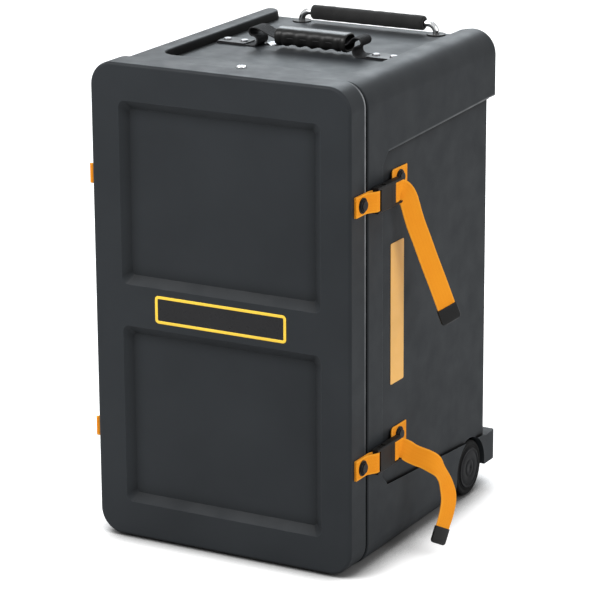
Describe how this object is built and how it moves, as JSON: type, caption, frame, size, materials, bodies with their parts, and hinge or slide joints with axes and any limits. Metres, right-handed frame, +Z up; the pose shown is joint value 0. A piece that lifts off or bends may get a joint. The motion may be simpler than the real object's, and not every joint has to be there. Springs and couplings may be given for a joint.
{
  "type": "cajon case",
  "caption": "Upright hard case for a box drum, with a lift-off front lid closed by webbing straps and release buckles, corner wheels, a carry handle and a pull-out handle.",
  "frame": {"origin": "bottom centre of the whole case, on the plane of its flat base", "axes": "+Z up, the lid faces -Y, +X to the right seen from the front"},
  "size_m": [0.4782, 0.4016, 0.6128],
  "materials": {
    "shell_plastic": "satin",
    "lining_foam": "matte",
    "strap_webbing": "matte",
    "handle_webbing": "matte",
    "buckle_plastic": "satin",
    "tip_plastic": "satin",
    "black_steel": "satin",
    "bright_steel": "satin",
    "rod_chrome": "polished",
    "tube_metal": "satin",
    "grip_foam": "matte",
    "grip_plastic": "satin",
    "tyre_rubber": "matte",
    "hub_plastic": "satin",
    "bush_plastic": "satin",
    "label_film": "satin",
    "badge_film": "gloss"
  },
  "bodies": {
    "case": {"body_shell": "shell_plastic", "base_pad": "lining_foam", "top_pad": "lining_foam", "back_pad": "lining_foam", "side_pads": "lining_foam", "side_label": "label_film", "rim_rivet": "bright_steel", "vent_plug": "bright_steel", "carry_plates": "black_steel", "carry_rivets": "bright_steel", "guide_tube_left": "tube_metal", "guide_tube_right": "tube_metal", "tube_bezels": "buckle_plastic", "tube_clamps": "black_steel", "clamp_rivets": "bright_steel", "axle": "bright_steel", "axle_caps": "black_steel", "strap_tips": "tip_plastic", "anchor_bolts": "black_steel", "plug_left_high": "buckle_plastic", "plug_left_low": "buckle_plastic", "plug_right_high": "buckle_plastic", "plug_right_low": "buckle_plastic", "strap_left_high": "strap_webbing", "strap_left_low": "strap_webbing", "strap_right_high": "strap_webbing", "strap_right_low": "strap_webbing"},
    "lid": {"lid_shell": "shell_plastic", "lid_pad": "lining_foam", "badge_plate": "badge_film", "tab_bolts": "black_steel", "tab_left_high": "strap_webbing", "tab_left_low": "strap_webbing", "tab_right_high": "strap_webbing", "tab_right_low": "strap_webbing", "socket_left_high": "buckle_plastic", "socket_left_low": "buckle_plastic", "socket_right_high": "buckle_plastic", "socket_right_low": "buckle_plastic"},
    "carry_handle": {"carry_grip": "grip_plastic", "carry_strap": "handle_webbing"},
    "pull_handle": {"pull_bar": "rod_chrome", "foam_grip": "grip_foam", "rod_feet": "bush_plastic"},
    "wheel_left": {"tyre_left": "tyre_rubber", "hub_left": "hub_plastic", "bush_left": "bush_plastic"},
    "wheel_right": {"tyre_right": "tyre_rubber", "hub_right": "hub_plastic", "bush_right": "bush_plastic"},
    "prong_left_high_upper": {"prong_left_high_upper": "buckle_plastic"},
    "prong_left_high_lower": {"prong_left_high_lower": "buckle_plastic"},
    "prong_left_low_upper": {"prong_left_low_upper": "buckle_plastic"},
    "prong_left_low_lower": {"prong_left_low_lower": "buckle_plastic"},
    "prong_right_high_upper": {"prong_right_high_upper": "buckle_plastic"},
    "prong_right_high_lower": {"prong_right_high_lower": "buckle_plastic"},
    "prong_right_low_upper": {"prong_right_low_upper": "buckle_plastic"},
    "prong_right_low_lower": {"prong_right_low_lower": "buckle_plastic"}
  },
  "joints": [
    {"name": "lid_slide", "type": "slide", "parent": "case", "child": "lid", "axis": [0, -1, 0], "range_m": [0, 0.15]},
    {"name": "carry_slide", "type": "slide", "parent": "case", "child": "carry_handle", "axis": [0, 0, 1], "range_m": [0, 0.018], "deforming": ["carry_strap"]},
    {"name": "pull_slide", "type": "slide", "parent": "case", "child": "pull_handle", "axis": [0, 0, 1], "range_m": [0, 0.36]},
    {"name": "wheel_spin_left", "type": "hinge", "parent": "case", "child": "wheel_left", "pos_m": [-0.1555, 0.13055, 0.038], "axis": [1, 0, 0], "continuous": true},
    {"name": "wheel_spin_right", "type": "hinge", "parent": "case", "child": "wheel_right", "pos_m": [0.1555, 0.13055, 0.038], "axis": [1, 0, 0], "continuous": true},
    {"name": "release_left_high_upper", "type": "hinge", "parent": "case", "child": "prong_left_high_upper", "pos_m": [-0.1826, -0.11575, 0.4674], "axis": [1, 0, 0], "range_deg": [0, 10], "stiffness_Nm_per_rad": 0.2},
    {"name": "release_left_high_lower", "type": "hinge", "parent": "case", "child": "prong_left_high_lower", "pos_m": [-0.1826, -0.11575, 0.4486], "axis": [1, 0, 0], "range_deg": [-10, 0], "stiffness_Nm_per_rad": 0.2},
    {"name": "release_left_low_upper", "type": "hinge", "parent": "case", "child": "prong_left_low_upper", "pos_m": [-0.1826, -0.11575, 0.1454], "axis": [1, 0, 0], "range_deg": [0, 10], "stiffness_Nm_per_rad": 0.2},
    {"name": "release_left_low_lower", "type": "hinge", "parent": "case", "child": "prong_left_low_lower", "pos_m": [-0.1826, -0.11575, 0.1266], "axis": [1, 0, 0], "range_deg": [-10, 0], "stiffness_Nm_per_rad": 0.2},
    {"name": "release_right_high_upper", "type": "hinge", "parent": "case", "child": "prong_right_high_upper", "pos_m": [0.1826, -0.11575, 0.4674], "axis": [1, 0, 0], "range_deg": [0, 10], "stiffness_Nm_per_rad": 0.2},
    {"name": "release_right_high_lower", "type": "hinge", "parent": "case", "child": "prong_right_high_lower", "pos_m": [0.1826, -0.11575, 0.4486], "axis": [1, 0, 0], "range_deg": [-10, 0], "stiffness_Nm_per_rad": 0.2},
    {"name": "release_right_low_upper", "type": "hinge", "parent": "case", "child": "prong_right_low_upper", "pos_m": [0.1826, -0.11575, 0.1454], "axis": [1, 0, 0], "range_deg": [0, 10], "stiffness_Nm_per_rad": 0.2},
    {"name": "release_right_low_lower", "type": "hinge", "parent": "case", "child": "prong_right_low_lower", "pos_m": [0.1826, -0.11575, 0.1266], "axis": [1, 0, 0], "range_deg": [-10, 0], "stiffness_Nm_per_rad": 0.2}
  ],
  "couplings": [
    {"joint": "release_left_high_lower", "follows": "release_left_high_upper", "ratio": -1},
    {"joint": "release_left_low_lower", "follows": "release_left_low_upper", "ratio": -1},
    {"joint": "release_right_high_lower", "follows": "release_right_high_upper", "ratio": -1},
    {"joint": "release_right_low_lower", "follows": "release_right_low_upper", "ratio": -1}
  ]
}
